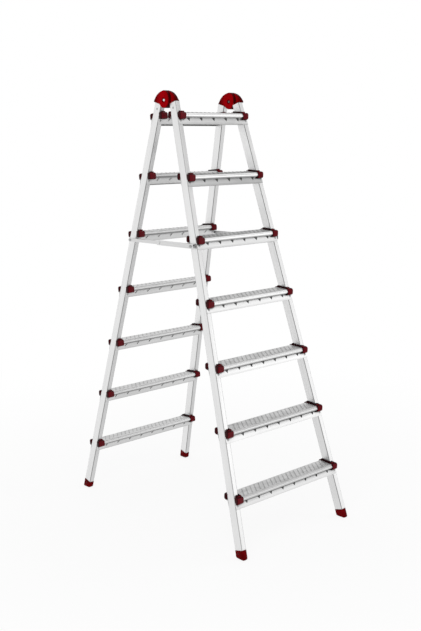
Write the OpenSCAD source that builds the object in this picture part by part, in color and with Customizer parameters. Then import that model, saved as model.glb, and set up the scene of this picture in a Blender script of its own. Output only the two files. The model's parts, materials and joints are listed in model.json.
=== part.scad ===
// Folding trestle ladder: two flared frames of tube stiles and pressed treads,
// hinged at the top and held apart by a folding strut on each side.
// X runs along the treads, -Y is the front frame, Z is up, and the origin lies on
// the floor midway between the four feet.

/* [Frames] */
// Lean of each frame from upright when the ladder stands open, in degrees
lean = 15.7; // [13:0.1:18]
// Spread of each stile towards the floor, in degrees
flare = 3.8; // [2.5:0.1:4.5]
// Treads on each frame
step_count = 7; // [4:1:7]
// Distance from tread to tread along the frame
step_pitch = 250; // [220:1:300]
// Distance from the hinge axis down to the top tread
first_step_drop = 73; // [73:1:120]
// Distance from the lowest tread down to the floor
last_step_rise = 229; // [180:1:300]
// Distance between the two hinges
hinge_spacing = 344.6; // [290:0.1:430]
// Distance that a hinge sits outside the axis of its stiles
hinge_outset = 6.8; // [0:0.1:8]
// Distance from the hinge axis to the middle of a stile
stile_offset = 41.3; // [41:0.1:60]

/* [Stiles] */
// Width of the stile tube along the treads
stile_w = 22; // [20:0.5:30]
// Depth of the stile tube across the frame
stile_d = 40; // [34:0.5:40]
// Wall of the stile tube
stile_wall = 1.5; // [1.2:0.1:2.5]
// Outer corner radius of the stile tube
stile_corner = 3; // [2:0.1:4]

/* [Treads] */
// Depth of a tread from nose to nose
tread_depth = 76; // [72:1:77]
// Slope of a tread down towards its outer nose on the open ladder, in degrees
tread_slope = 4; // [0:0.5:6]
// Height of the rounded nose
nose_h = 20; // [16:0.5:22]
// Thickness of the tread sheet
sheet = 2; // [1.2:0.1:2.5]
// Height of the skirt below the nose
skirt_h = 27; // [22:0.5:34]
// Width of the turned-in lip under each skirt
lip_w = 7; // [4:0.5:10]
// Distance between the anti-slip ribs on the deck
rib_pitch = 22; // [16:0.5:30]
// Width of an anti-slip rib
rib_w = 4; // [3:0.5:8]
// Height of an anti-slip rib
rib_h = 1; // [0.6:0.1:1.6]
// Slant of the anti-slip ribs from straight across the tread, in degrees
rib_slant = 33; // [0:1:40]
// Distance that the ribs stop short of the noses
rib_margin = 4; // [3:0.5:8]
// Distance between the pressed notches under a nose
notch_pitch = 65; // [50:1:80]
// Distance from a tread's right cap to the middle of its first notch
notch_start = 24; // [16:0.5:40]
// Width of a pressed notch
notch_w = 17; // [8:0.5:24]
// Height of a pressed notch
notch_h = 13; // [6:0.5:18]

/* [Tread ends] */
// Length of a moulded end cap along the nose
cap_len = 29.5; // [28:0.5:40]
// Wall of a moulded end cap
cap_wall = 2.3; // [1.8:0.1:2.4]
// Width of the moulded strip beside the stile
strip_w = 5; // [4:0.5:9]
// Height of the moulded strip above the deck
strip_h = 4; // [2:0.5:6]

/* [Hinges] */
// Thickness of a hinge along its axis
hinge_t = 28; // [26:0.5:36]
// Radius of a hinge ear
ear_r = 30.8; // [26:0.1:30.8]
// Extra height of a hinge ear above its round
ear_rise = 7.2; // [4:0.1:10]
// Distance that an ear's face stands proud of its shoulder
ear_proud = 2.5; // [1.5:0.1:4]
// Distance from an ear's raised face in to its rim
ear_margin = 1.2; // [0.8:0.1:2]
// Distance that the shoulder's dome dips below the top of an ear
dome_dip = 1.2; // [0.8:0.1:3]
// Distance from the hinge axis down to the top of the stile tube
seat_drop = 23; // [23:0.5:30]
// Thickness of a hinge's flange over the end of the stile tube
flange_h = 3; // [2:0.1:5]
// Length of the plug inside the stile tube
plug_len = 45; // [36:1:60]
// Shank diameter of the hinge bolt
hinge_bolt_d = 8; // [6:0.5:10]
// Diameter of the recess round the bolt head
recess_d = 20; // [18:0.5:24]
// Depth of the recess round the bolt head
recess_depth = 4.5; // [4:0.1:6]

/* [Struts] */
// Treads from the top down to the one that the struts sit under
strut_step_count = 3; // [2:1:4]
// Distance from that tread down to the strut pivots
strut_drop = 24; // [20:0.5:40]
// Width of the channel link
channel_w = 14; // [12:0.5:20]
// Height of the channel link
channel_h = 18; // [17:0.5:24]
// Wall of the strut links
channel_wall = 1.5; // [1.2:0.1:1.8]
// Height of the inner link
bar_h = 13; // [10:0.5:13.5]
// Distance that the channel link runs past its pivots
channel_end = 14; // [10:0.5:15]
// Pivot diameter of the struts
strut_pin_d = 6; // [5:0.5:6.5]

/* [Feet] */
// Wall of a foot round the stile
foot_wall = 2.5; // [2:0.1:4]
// Height of a foot along the stile
foot_h = 33; // [28:0.5:45]
// Distance from the floor up to the end of the stile tube
sole_h = 12; // [11:0.5:16]

/* [Rivets] */
// Shank diameter of a rivet
rivet_d = 4.8; // [3.2:0.1:6]
// Head diameter of a rivet
rivet_head_d = 9.5; // [8:0.1:12]
// Head height of a rivet
rivet_head_h = 2; // [1.2:0.1:3]

/* [Clearances] */
// Radial clearance of a pin in its bore
pin_clearance = 0.05; // [0.02:0.01:0.1]
// Gap between fixed pieces that sit against each other
seat_gap = 0.1; // [0.05:0.01:0.2]
// Gap between pieces that move past each other
moving_gap = 0.4; // [0.3:0.05:0.6]

/* [Hidden] */
$fn = 64;
sides = [-1, 1];
steps = [1:step_count];
// How far cuts run past the faces that they open
overrun = 1;

// Distance from the middle to a stile's axis, level with the hinge axis
top_x = hinge_spacing / 2 - hinge_outset;
floor_reach = step_drop(step_count) + last_step_rise;
pivot_h = floor_reach * cos(lean) - stile_offset * sin(lean);
tread_turn = lean + tread_slope;

nose_r = nose_h / 2;
nose_y = tread_depth / 2 - nose_r;
cap_r = nose_r + cap_wall;
cap_end_wall = cap_wall + seat_gap;
skirt_y = stile_d / 2 + 2 * seat_gap;
// The last notch of a row keeps at least this far from the left cap
notch_clear = 3 * sheet;
// A notch leans: its point sits this share of its width off its middle
notch_lean_share = 0.2;
// Hinge bolt: head and nut as shares of the recess and the shank
bolt_head_h_share = 0.75;
bolt_head_d_share = 1.35;
bolt_nut_d_share = 1.8;
hinge_head_h = recess_depth * bolt_head_h_share;
hinge_head_d = hinge_bolt_d * bolt_head_d_share;
hinge_nut_d = hinge_bolt_d * bolt_nut_d_share;
// The hinge's outer lower corners stand this far proud of the stile
hinge_proud = stile_wall;
rivet_dome_r = (rivet_head_d ^ 2 / 4 + rivet_head_h ^ 2) / (2 * rivet_head_h);

// Dome of the hinge: the arc just under the ear's top and through both outer lower corners
dome_top = ear_r + ear_rise - dome_dip;
corner_n = stile_offset + stile_d / 2 + hinge_proud;
shoulder_drop = seat_drop - flange_h / 2;
corner_y = corner_n * cos(lean) + shoulder_drop * sin(lean);
corner_z = corner_n * sin(lean) - shoulder_drop * cos(lean);
dome_z = (dome_top ^ 2 - corner_y ^ 2 - corner_z ^ 2) / (2 * (dome_top - corner_z));
dome_r = dome_top - dome_z;

// Strut pivots on the open ladder, and the channel's place outside the stile
strut_reach = step_drop(strut_step_count) + strut_drop;
strut_y = stile_offset * cos(lean) + strut_reach * sin(lean);
strut_z = pivot_h + stile_offset * sin(lean) - strut_reach * cos(lean);
// Thickness of the spacer between a channel link and the stile
strut_spacer = 2;
strut_x = outer_x(strut_reach) + strut_spacer + channel_w / 2;
bar_w = channel_w - 2 * channel_wall - 2 * moving_gap;
// Strut pins: heads as shares of the shank
pin_head_d_share = 1.9;
pin_head_h_share = 0.4;
pin_head_d = strut_pin_d * pin_head_d_share;
pin_head_h = strut_pin_d * pin_head_h_share;

stile_bottom = floor_reach - sole_h;
foot_top = floor_reach - foot_h;
foot_rivet_reach = (stile_bottom + foot_top) / 2;
hinge_rivet_reach = seat_drop + plug_len / 2;

function step_drop(k) = first_step_drop + (k - 1) * step_pitch;
// Distance from the middle to a stile's axis, outer face and inner face, at a distance down the frame
function axis_x(reach) = top_x + reach * tan(flare);
function outer_x(reach) = axis_x(reach) + stile_w / 2 / cos(flare);
function inner_x(reach) = axis_x(reach) - stile_w / 2 / cos(flare);
// Height along the frame, from a tread's own level, at which its skirt meets the underside of the nose
function skirt_top(dir) = (dir * (skirt_y + sheet / 2) * sin(tread_turn) - nose_r + sheet / 2) / cos(tread_turn);
function skirt_mid(dir) = skirt_top(dir) - skirt_h / 2;
function frame_name(rear) = rear ? "rear" : "front";
function side_name(side) = side < 0 ? "left" : "right";
// The rear frame is the front frame turned half round, so its left is the frame's own right
function own_side(rear, side) = rear ? -side : side;

// From a frame's own axes, hung from the hinge, to the open ladder
module frame_place(rear) {
    translate([0, 0, pivot_h])
        rotate([0, 0, rear ? 180 : 0])
            rotate([-lean, 0, 0])
                children();
}

// From a stile's own axis to its frame
module stile_place(side) {
    translate([side * top_x, -stile_offset, 0])
        rotate([0, -side * flare, 0])
            children();
}

// From a tread's own axes to its frame
module tread_place(k) {
    translate([0, -stile_offset, -step_drop(k)])
        rotate([tread_turn, 0, 0])
            children();
}

// A shape drawn in the YZ plane, given its thickness along X
module across(x0, x1) {
    translate([x0, 0, 0])
        rotate([90, 0, 90])
            linear_extrude(x1 - x0)
                children();
}

module x_cylinder(x0, x1, d) {
    translate([x0, 0, 0])
        rotate([0, 90, 0])
            cylinder(h = x1 - x0, d = d);
}

module rounded_rect(w, d, r) {
    square([w - 2 * r, d], center = true);
    square([w, d - 2 * r], center = true);
    for (x = sides, y = sides)
        translate([x * (w / 2 - r), y * (d / 2 - r)])
            circle(r);
}

// Solid outer shape of a stile, grown by a gap
module stile_envelope(side, grow) {
    length = (stile_bottom + grow) / cos(flare);
    stile_place(side)
        translate([0, 0, -length])
            linear_extrude(length)
                rounded_rect(stile_w + 2 * grow, stile_d + 2 * grow, stile_corner + grow);
}

// A rivet along its own Z: the head stands on z = 0 and the shank goes down
module rivet(grip) {
    rotate_extrude() {
        intersection() {
            translate([0, rivet_head_h - rivet_dome_r])
                circle(rivet_dome_r);
            square([rivet_head_d / 2, rivet_head_h]);
        }
        translate([0, -grip])
            square([rivet_d / 2, grip]);
    }
}

// Places of the rivets that hold each tread's skirts to the stiles, heads outwards
module at_step_rivets(k, side) {
    for (dir = sides) {
        reach = step_drop(k) - skirt_mid(dir);
        translate([side * axis_x(reach), -stile_offset + dir * (skirt_y + sheet), -reach])
            rotate([-dir * 90, 0, 0])
                children();
    }
}

// Place on the outer face of a stile, at a distance down the frame, facing outwards
module at_stile_face(side, reach, proud) {
    stile_place(side)
        translate([side * (stile_w / 2 + proud), 0, -reach / cos(flare)])
            rotate([0, side * 90, 0])
                children();
}

module rivet_hole() {
    translate([0, 0, -stile_d / 3])
        cylinder(h = stile_d / 3 + overrun, d = rivet_d + 2 * pin_clearance);
}

// Stile: rectangular tube with a level top, drilled for its rivets and strut bolt
module stile(rear, side) {
    own = own_side(rear, side);
    length = stile_bottom / cos(flare);
    color("gainsboro")
        frame_place(rear)
            difference() {
                stile_place(own)
                    translate([0, 0, -length])
                        linear_extrude(length)
                            difference() {
                                rounded_rect(stile_w, stile_d, stile_corner);
                                square([stile_w - 2 * stile_wall, stile_d - 2 * stile_wall], center = true);
                            }
                translate([-hinge_spacing, -2 * stile_offset, -seat_drop])
                    cube([2 * hinge_spacing, 2 * stile_offset, 2 * seat_drop]);
                for (k = steps)
                    at_step_rivets(k, own)
                        rivet_hole();
                for (reach = [hinge_rivet_reach, foot_rivet_reach])
                    at_stile_face(own, reach, 0)
                        translate([0, 0, -stile_w / 2])
                            cylinder(h = stile_w / 2 + overrun, d = rivet_d + 2 * pin_clearance);
                if (!rear)
                    translate([own * axis_x(strut_reach), -stile_offset, -strut_reach])
                        x_cylinder(-stile_w, stile_w, strut_pin_d + 2 * pin_clearance);
            }
}

// Foot: a moulded shoe round the end of the stile, cut flat at the floor
module foot(rear, side) {
    own = own_side(rear, side);
    below = stile_d;
    color("darkred")
        difference() {
            frame_place(rear)
                difference() {
                    stile_place(own)
                        translate([0, 0, -(floor_reach + below) / cos(flare)])
                            linear_extrude((foot_h + below) / cos(flare))
                                rounded_rect(stile_w + 2 * foot_wall, stile_d + 2 * foot_wall,
                                    stile_corner + foot_wall);
                    stile_envelope(own, seat_gap);
                    at_stile_face(own, foot_rivet_reach, foot_wall)
                        translate([0, 0, -stile_w / 2])
                            cylinder(h = stile_w / 2 + overrun, d = rivet_d + 2 * pin_clearance);
                }
            translate([-hinge_spacing * 2, -floor_reach, -2 * below])
                cube([hinge_spacing * 4, 2 * floor_reach, 2 * below]);
        }
}

// Outline of a cap's shoulder over its own stile, drawn round the hinge axis
module shoulder_outline() {
    far = 2 * dome_r;
    intersection() {
        translate([0, dome_z])
            circle(dome_r);
        rotate(-lean)
            translate([-far, -shoulder_drop])
                square([2 * far, 2 * far]);
        translate([-far, -far])
            square([far, 2 * far]);
    }
}

// Outline of an ear: round about the hinge axis, and drawn up to the top of the dome
module ear_outline(r) {
    circle(r);
    translate([0, ear_rise])
        circle(r);
    translate([-r, 0])
        square([2 * r, ear_rise]);
}

// Hinge cap: a plug in the stile, a flange over its end and, on one half of the hinge, a shoulder with an ear
module hinge_cap(rear, side) {
    own = own_side(rear, side);
    ear_face = moving_gap / 2;
    color("firebrick")
        frame_place(rear) {
            difference() {
                union() {
                    translate([own * hinge_spacing / 2, 0, 0])
                        rotate([lean, 0, 0]) {
                            across(ear_face, hinge_t / 2 - ear_proud) {
                                shoulder_outline();
                                ear_outline(ear_r);
                            }
                            across(hinge_t / 4, hinge_t / 2)
                                ear_outline(ear_r - ear_margin);
                        }
                    translate([own * axis_x(seat_drop), -stile_offset, -seat_drop])
                        linear_extrude(flange_h)
                            rounded_rect(stile_w, stile_d, stile_corner);
                    stile_place(own)
                        translate([0, 0, -(seat_drop + plug_len) / cos(flare)])
                            linear_extrude((plug_len + flange_h / 2) / cos(flare))
                                square([stile_w - 2 * (stile_wall + seat_gap),
                                    stile_d - 2 * (stile_wall + seat_gap)], center = true);
                }
                translate([own * hinge_spacing / 2, 0, 0]) {
                    x_cylinder(-hinge_t, ear_face, 2 * (ear_r + moving_gap));
                    x_cylinder(0, hinge_t, hinge_bolt_d + 2 * pin_clearance);
                    x_cylinder(hinge_t / 2 - recess_depth, hinge_t, recess_d);
                }
                at_stile_face(own, hinge_rivet_reach, 0)
                    translate([0, 0, -stile_w / 2])
                        cylinder(h = stile_w, d = rivet_d + 2 * pin_clearance);
            }
        }
}

// Solid outline of one nose, from a distance behind its round
module nose_outline(dir, r, back) {
    mirror([dir < 0 ? 1 : 0, 0])
        intersection() {
            union() {
                translate([nose_y, 0])
                    circle(r);
                translate([0, -r])
                    square([nose_y, 2 * r]);
            }
            translate([back, -r])
                square([2 * (nose_y + r), 2 * r]);
        }
}

// Section of one rolled nose, with the sheet that runs back above and below it
module nose_section(dir) {
    back = skirt_y * cos(tread_turn) + dir * skirt_top(dir) * sin(tread_turn);
    difference() {
        nose_outline(dir, nose_r, back);
        nose_outline(dir, nose_r - sheet, 0);
    }
}

// Section of one skirt, which lies along the face of the stile
module skirt_section(dir, grow) {
    height = skirt_h + grow;
    rotate(-tread_turn)
        translate([dir > 0 ? skirt_y - grow : -skirt_y - sheet - grow, skirt_top(dir) - height])
            square([sheet + 2 * grow, height + grow]);
}

module lip_section(dir) {
    rotate(-tread_turn)
        translate([dir > 0 ? skirt_y - lip_w : -skirt_y, skirt_top(dir) - skirt_h])
            square([lip_w, sheet]);
}

// Deck: a flat sheet with slanting ribs pressed up from it
module deck(half) {
    rib_reach = nose_y - rib_margin;
    span = half - strip_w - rib_w - rib_reach * tan(rib_slant);
    count = floor(span / rib_pitch);
    translate([-half, -nose_y, nose_r - sheet])
        cube([2 * half, 2 * nose_y, sheet]);
    for (i = [-count:count])
        translate([i * rib_pitch, 0, nose_r - sheet / 2])
            rotate([0, 0, -rib_slant])
                linear_extrude(sheet / 2 + rib_h)
                    square([rib_w, 2 * rib_reach / cos(rib_slant)], center = true);
}

// Pressed notches through a skirt, just under the nose, in a row from the tread's right cap
module notches(k, dir) {
    cap_x = outer_x(step_drop(k)) - cap_len;
    first_x = cap_x - notch_start;
    count = floor((first_x + cap_x - notch_w / 2 - notch_clear) / notch_pitch);
    for (i = [0:count])
        translate([first_x - i * notch_pitch, dir * (skirt_y + sheet / 2), skirt_top(dir) - sheet])
            rotate([90, 0, 0])
                linear_extrude(2 * sheet, center = true)
                    polygon([[-notch_w / 2, 0], [notch_w / 2, 0], [notch_w * notch_lean_share, -notch_h]]);
}

// Tread: ribbed deck, rolled noses, and skirts riveted to the faces of the stiles
module step(rear, k) {
    nose_half = outer_x(step_drop(k)) - cap_end_wall - seat_gap;
    deck_half = inner_x(step_drop(k) - nose_h) - seat_gap;
    color("whitesmoke")
        frame_place(rear)
            difference() {
                tread_place(k) {
                    deck(deck_half);
                    for (dir = sides) {
                        skirt_half = outer_x(step_drop(k) - skirt_top(dir)) - seat_gap;
                        lip_half = inner_x(step_drop(k)) - seat_gap;
                        across(-nose_half, nose_half)
                            nose_section(dir);
                        across(-skirt_half, skirt_half)
                            skirt_section(dir, 0);
                        across(-lip_half, lip_half)
                            lip_section(dir);
                    }
                }
                for (side = sides) {
                    stile_envelope(side, seat_gap);
                    at_step_rivets(k, side)
                        rivet_hole();
                }
                translate([0, -stile_offset, -step_drop(k)])
                    for (dir = sides)
                        notches(k, dir);
            }
}

// Outline of a cap over a nose, reaching back to the face of the stile
module cap_outline(dir) {
    nose_outline(dir, cap_r, stile_d / 2 / cos(tread_turn));
}

// Room that a cap leaves for the tread inside it
module tread_room() {
    for (dir = sides)
        nose_outline(dir, nose_r + seat_gap, -overrun);
}

// Moulded ends of a tread: two nose caps and the strip beside the stile, in one piece at each end
module step_ends(rear, k) {
    end_x = outer_x(step_drop(k));
    strip_x = inner_x(step_drop(k) - nose_h);
    room_half = end_x - cap_end_wall;
    color("maroon")
        frame_place(rear)
            difference() {
                tread_place(k)
                    for (side = sides) {
                        for (dir = sides)
                            across(min(side * end_x, side * (end_x - cap_len)),
                                max(side * end_x, side * (end_x - cap_len)))
                                cap_outline(dir);
                        across(min(side * (strip_x - strip_w), side * (strip_x + stile_w / 2)),
                            max(side * (strip_x - strip_w), side * (strip_x + stile_w / 2)))
                            translate([-nose_y, nose_r])
                                square([2 * nose_y, strip_h]);
                    }
                tread_place(k)
                    across(-room_half, room_half)
                        tread_room();
                tread_place(k)
                    across(-2 * end_x, 2 * end_x)
                        for (dir = sides)
                            skirt_section(dir, seat_gap);
                for (side = sides)
                    stile_envelope(side, seat_gap);
            }
}

module step_rivets(rear) {
    color("silver")
        frame_place(rear)
            for (k = steps, side = sides)
                at_step_rivets(k, side)
                    rivet(2 * sheet + stile_wall);
}

module hinge_rivets(rear) {
    color("silver")
        frame_place(rear)
            for (side = sides)
                at_stile_face(side, hinge_rivet_reach, 0)
                    rivet(stile_w / 2);
}

module foot_rivets(rear) {
    color("silver")
        frame_place(rear)
            for (side = sides)
                at_stile_face(side, foot_rivet_reach, foot_wall)
                    rivet(foot_wall + 2 * stile_wall);
}

// Hinge bolt: head in the rear ear's recess, shank through both ears
module hinge_bolt(side) {
    head_seat = -hinge_t / 2 + recess_depth - moving_gap;
    color("silver")
        translate([side * hinge_spacing / 2, 0, pivot_h])
            rotate([0, 90, 0])
                rotate_extrude() {
                    translate([0, head_seat])
                        square([hinge_bolt_d / 2, hinge_t / 2 - head_seat - seat_gap]);
                    translate([0, head_seat - hinge_head_h])
                        polygon([
                            [0, 0],
                            [hinge_head_d / 2 - hinge_head_h / 2, 0],
                            [hinge_head_d / 2, hinge_head_h / 2],
                            [hinge_head_d / 2, hinge_head_h],
                            [0, hinge_head_h]
                        ]);
                }
}

module hinge_nuts() {
    nut_sides = 6;
    color("silver")
        for (side = sides)
            translate([side * hinge_spacing / 2, 0, pivot_h])
                difference() {
                    translate([hinge_t / 2 - recess_depth, 0, 0])
                        rotate([0, 90, 0])
                            cylinder(h = hinge_head_h, d = hinge_nut_d, $fn = nut_sides);
                    x_cylinder(0, hinge_t, hinge_bolt_d + 2 * pin_clearance);
                }
}

// From a strut link's own axes, pivot at the origin and length along Y, to the ladder
module strut_place(side, y) {
    translate([side * strut_x, y, strut_z])
        children();
}

// Channel link: open below, pivoted on the front stile
module channel_link(side) {
    length = strut_y + 2 * channel_end;
    color("gainsboro")
        strut_place(side, -strut_y)
            difference() {
                translate([-channel_w / 2, -channel_end, -channel_h / 2])
                    cube([channel_w, length, channel_h]);
                translate([-channel_w / 2 + channel_wall, -channel_end - overrun, -channel_h / 2 - channel_wall])
                    cube([channel_w - 2 * channel_wall, length + 2 * overrun, channel_h]);
                for (y = [0, strut_y])
                    translate([0, y, 0])
                        x_cylinder(-channel_w, channel_w, strut_pin_d + 2 * pin_clearance);
            }
}

// Outline of the inner link: round ends about both of its pivots
module bar_outline(h) {
    for (y = [0, strut_y])
        translate([y, 0])
            circle(d = h);
    translate([0, -h / 2])
        square([strut_y, h]);
}

// Inner link: a smaller channel that folds up inside the channel link
module inner_link(side) {
    slot_w = bar_w - 2 * channel_wall;
    color("gainsboro")
        strut_place(side, 0)
            difference() {
                across(-bar_w / 2, bar_w / 2)
                    bar_outline(bar_h);
                translate([-slot_w / 2, -bar_h, -bar_h / 2 - channel_wall])
                    cube([slot_w, strut_y + 2 * bar_h, bar_h]);
                for (y = [0, strut_y])
                    translate([0, y, 0])
                        x_cylinder(-channel_w, channel_w, strut_pin_d + 2 * pin_clearance);
            }
}

// Middle pin: fixed in the channel link, with a head outside each of its walls
module strut_middle_pin(side) {
    color("silver")
        strut_place(side, 0) {
            x_cylinder(-channel_w / 2, channel_w / 2, strut_pin_d);
            x_cylinder(channel_w / 2, channel_w / 2 + pin_head_h, pin_head_d);
            mirror([1, 0, 0])
                x_cylinder(channel_w / 2, channel_w / 2 + pin_head_h, pin_head_d);
        }
}

// Rear stud: fixed in the inner link, its collar against the rear stile's outer face
module strut_rear_stud(side) {
    face = outer_x(strut_reach) - strut_x + moving_gap + pin_head_d / 2 * tan(flare);
    color("silver")
        strut_place(side, strut_y)
            mirror([side < 0 ? 1 : 0, 0, 0]) {
                x_cylinder(-bar_w / 2, bar_w / 2, strut_pin_d);
                x_cylinder(bar_w / 2, bar_w / 2 + pin_head_h, pin_head_d);
                x_cylinder(face, -bar_w / 2, pin_head_d);
            }
}

// Front bolts: through the channel link and both walls of the front stile
module strut_front_bolts() {
    inside = inner_x(strut_reach) - strut_x - pin_head_d / 2 * tan(flare) - seat_gap;
    outside = channel_w / 2 + moving_gap;
    color("silver")
        for (side = sides)
            strut_place(side, -strut_y)
                mirror([side < 0 ? 1 : 0, 0, 0]) {
                    x_cylinder(inside, outside, strut_pin_d);
                    x_cylinder(outside, outside + pin_head_h, pin_head_d);
                    x_cylinder(inside - pin_head_h, inside, pin_head_d);
                }
}

// Spacers on the front bolts, cut to the slope of the stile's face
module strut_spacers() {
    outside = -channel_w / 2 - moving_gap;
    inside = outside - 2 * strut_spacer;
    color("silver")
        difference() {
            for (side = sides)
                strut_place(side, -strut_y)
                    mirror([side < 0 ? 1 : 0, 0, 0])
                        difference() {
                            x_cylinder(inside, outside, pin_head_d);
                            x_cylinder(inside - overrun, outside + overrun, strut_pin_d + 2 * pin_clearance);
                        }
            frame_place(false)
                for (side = sides)
                    stile_envelope(side, 0);
        }
}

for (rear = [false, true]) {
    for (side = sides) {
        name = str(frame_name(rear), "_", side_name(side));
        stile(rear, side);
        foot(rear, side);
        hinge_cap(rear, side);
    }
    for (k = steps) {
        step(rear, k);
        step_ends(rear, k);
    }
    step_rivets(rear);
    hinge_rivets(rear);
    foot_rivets(rear);
}
for (side = sides) {
    hinge_bolt(side);
    channel_link(side);
    inner_link(side);
    strut_middle_pin(side);
    strut_rear_stud(side);
}
hinge_nuts();
strut_front_bolts();
strut_spacers();
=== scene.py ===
# %% [markdown]
# # A folding trestle ladder
# The ladder has two aluminium frames that stand back to back, with red mouldings at the hinges, the
# tread ends and the feet. Its solid parts come in ready made and in place, in metres. This lesson gives
# them their finishes, models the mouldings anew with the soft edges that a mould leaves, and sets up the
# light and the camera.

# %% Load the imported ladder
import json
import math

import bmesh
import bpy
from mathutils import Matrix, Vector

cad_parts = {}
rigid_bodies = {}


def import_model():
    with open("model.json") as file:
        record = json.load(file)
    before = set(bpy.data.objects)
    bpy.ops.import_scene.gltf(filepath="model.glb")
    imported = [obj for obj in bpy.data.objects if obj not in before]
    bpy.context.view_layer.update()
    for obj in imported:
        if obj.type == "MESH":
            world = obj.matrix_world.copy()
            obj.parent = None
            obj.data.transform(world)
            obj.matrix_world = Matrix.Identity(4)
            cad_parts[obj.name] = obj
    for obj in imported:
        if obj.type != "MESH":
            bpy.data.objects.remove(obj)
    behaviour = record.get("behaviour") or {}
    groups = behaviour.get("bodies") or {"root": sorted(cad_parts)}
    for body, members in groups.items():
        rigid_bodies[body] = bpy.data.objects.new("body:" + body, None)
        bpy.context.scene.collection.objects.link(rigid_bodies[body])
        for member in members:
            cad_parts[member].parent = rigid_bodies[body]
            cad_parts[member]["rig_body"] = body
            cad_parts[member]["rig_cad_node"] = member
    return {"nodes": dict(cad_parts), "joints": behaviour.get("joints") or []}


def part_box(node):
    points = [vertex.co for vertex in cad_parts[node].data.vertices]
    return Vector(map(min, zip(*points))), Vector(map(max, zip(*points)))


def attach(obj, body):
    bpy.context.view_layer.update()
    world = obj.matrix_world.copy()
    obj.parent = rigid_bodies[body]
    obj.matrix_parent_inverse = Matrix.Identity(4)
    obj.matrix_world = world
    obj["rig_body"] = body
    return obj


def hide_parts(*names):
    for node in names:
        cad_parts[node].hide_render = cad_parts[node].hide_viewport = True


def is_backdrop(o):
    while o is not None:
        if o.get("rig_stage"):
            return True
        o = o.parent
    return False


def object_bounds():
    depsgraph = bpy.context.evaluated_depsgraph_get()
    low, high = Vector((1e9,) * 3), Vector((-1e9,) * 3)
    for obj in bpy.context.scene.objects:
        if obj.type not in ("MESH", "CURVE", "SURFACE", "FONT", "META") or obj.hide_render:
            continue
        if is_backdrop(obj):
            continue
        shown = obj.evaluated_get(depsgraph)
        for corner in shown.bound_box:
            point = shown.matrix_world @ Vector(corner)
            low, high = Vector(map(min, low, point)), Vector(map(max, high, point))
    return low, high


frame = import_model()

nodes = frame["nodes"]
box_as_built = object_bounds()


def rounded(values, digits=3):
    """Numbers that are short enough to print."""
    return [round(value, digits) for value in values]


print("box from", rounded(box_as_built[0]), "to", rounded(box_as_built[1]))

# %% [markdown]
# ## The ladder's own axes
# Each frame leans back from the hinge axis, its stiles spread towards the floor, and its treads turn with
# it. A finish that follows a tube, or a moulding that fits over a nose, needs those directions. They could
# be measured from the meshes, but the angles that the ladder was built with are known, so a matrix for each
# frame and tread says it more exactly.

# %% Matrices for frames and treads
LEAN_DEGREES = 15.7
TREAD_SLOPE_DEGREES = 4.0
LEAN = math.radians(LEAN_DEGREES)
FLARE = math.radians(3.8)
TREAD_TURN = math.radians(LEAN_DEGREES + TREAD_SLOPE_DEGREES)
STILE_OFFSET = 0.0413
FIRST_TREAD_DROP = 0.073
TREAD_PITCH = 0.25
TREAD_COUNT = 7
TREADS = range(1, TREAD_COUNT + 1)
FRAMES = ("front", "rear")
SIDES = (("left", -1), ("right", 1))
hinge_axis = Vector(next(j for j in frame["joints"] if j["name"] == "frame_fold")["pos_m"])


def tread_drop(k):
    """Distance from the hinge axis down the frame to tread k."""
    return FIRST_TREAD_DROP + (k - 1) * TREAD_PITCH


def frame_matrix(name):
    """From a frame's own axes, hung from the hinge, to the open ladder."""
    half_turn = math.pi if name == "rear" else 0.0
    hung = Matrix.Translation(hinge_axis) @ Matrix.Rotation(half_turn, 4, "Z")
    return hung @ Matrix.Rotation(-LEAN, 4, "X")


def tread_matrix(name, k):
    """From a tread's own axes, X along it and Z up from its deck, to the open ladder."""
    down = Matrix.Translation((0, -STILE_OFFSET, -tread_drop(k)))
    return frame_matrix(name) @ down @ Matrix.Rotation(TREAD_TURN, 4, "X")


def stile_axes(name, side):
    """Directions across the width, across the depth and along a stile."""
    own = -side if name == "rear" else side
    turn = frame_matrix(name).to_3x3() @ Matrix.Rotation(-own * FLARE, 3, "Y")
    return [turn.col[i].copy() for i in range(3)]


for name in FRAMES:
    print(name, "left stile runs along", rounded(stile_axes(name, -1)[2]))

# %% [markdown]
# ## The camera
# The photograph looks along one front corner from a little below the ladder's top. Lens, place and turn
# could be tried by eye, but here they come from lines on the ladder whose lengths are known, so they are
# set as numbers.

# %% Set the camera
CAMERA_PLACE = (-2.43047, -2.90752, 1.53516)
yaw, pitch, roll = [math.radians(degrees) for degrees in (42.3897, -9.8399, -0.9331)]
ahead = Vector((math.sin(yaw) * math.cos(pitch), math.cos(yaw) * math.cos(pitch), math.sin(pitch)))
sideways = Vector((math.cos(yaw), -math.sin(yaw), 0))
upwards = sideways.cross(ahead)
right = sideways * math.cos(roll) + upwards * math.sin(roll)
above = upwards * math.cos(roll) - sideways * math.sin(roll)
camera_turn = Matrix((right, above, -ahead)).transposed().to_4x4()
camera_data = bpy.data.cameras.new("photo_camera")
camera_data.sensor_width = 36
camera_data.lens = 51.5376
camera_data.shift_x = -0.05179
camera_data.shift_y = -0.01861
camera = bpy.data.objects.new("photo_camera", camera_data)
camera.matrix_world = Matrix.Translation(CAMERA_PLACE) @ camera_turn
bpy.context.scene.collection.objects.link(camera)
bpy.context.scene.camera = camera
bpy.context.scene.view_settings.view_transform = "Standard"
print("camera stands at", rounded(camera.location, 2))

# %% [markdown]
# ## Studio, floor and light
# Pale metal on white needs a white room: the surroundings show as plain white to the eye and in
# reflections, and light the ladder at a lower level. Large panels on three sides give the mouldings a lit
# and a shaded side. Small lamps would be simpler, but they would leave hot spots on the tubes. Even the
# panels stay out of reflections, apart from a dim one at the front right, which lifts the narrow front
# faces of the tubes a little above their sides. High up on that side the room is darker, and the tops of
# the tubes show it.

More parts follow.
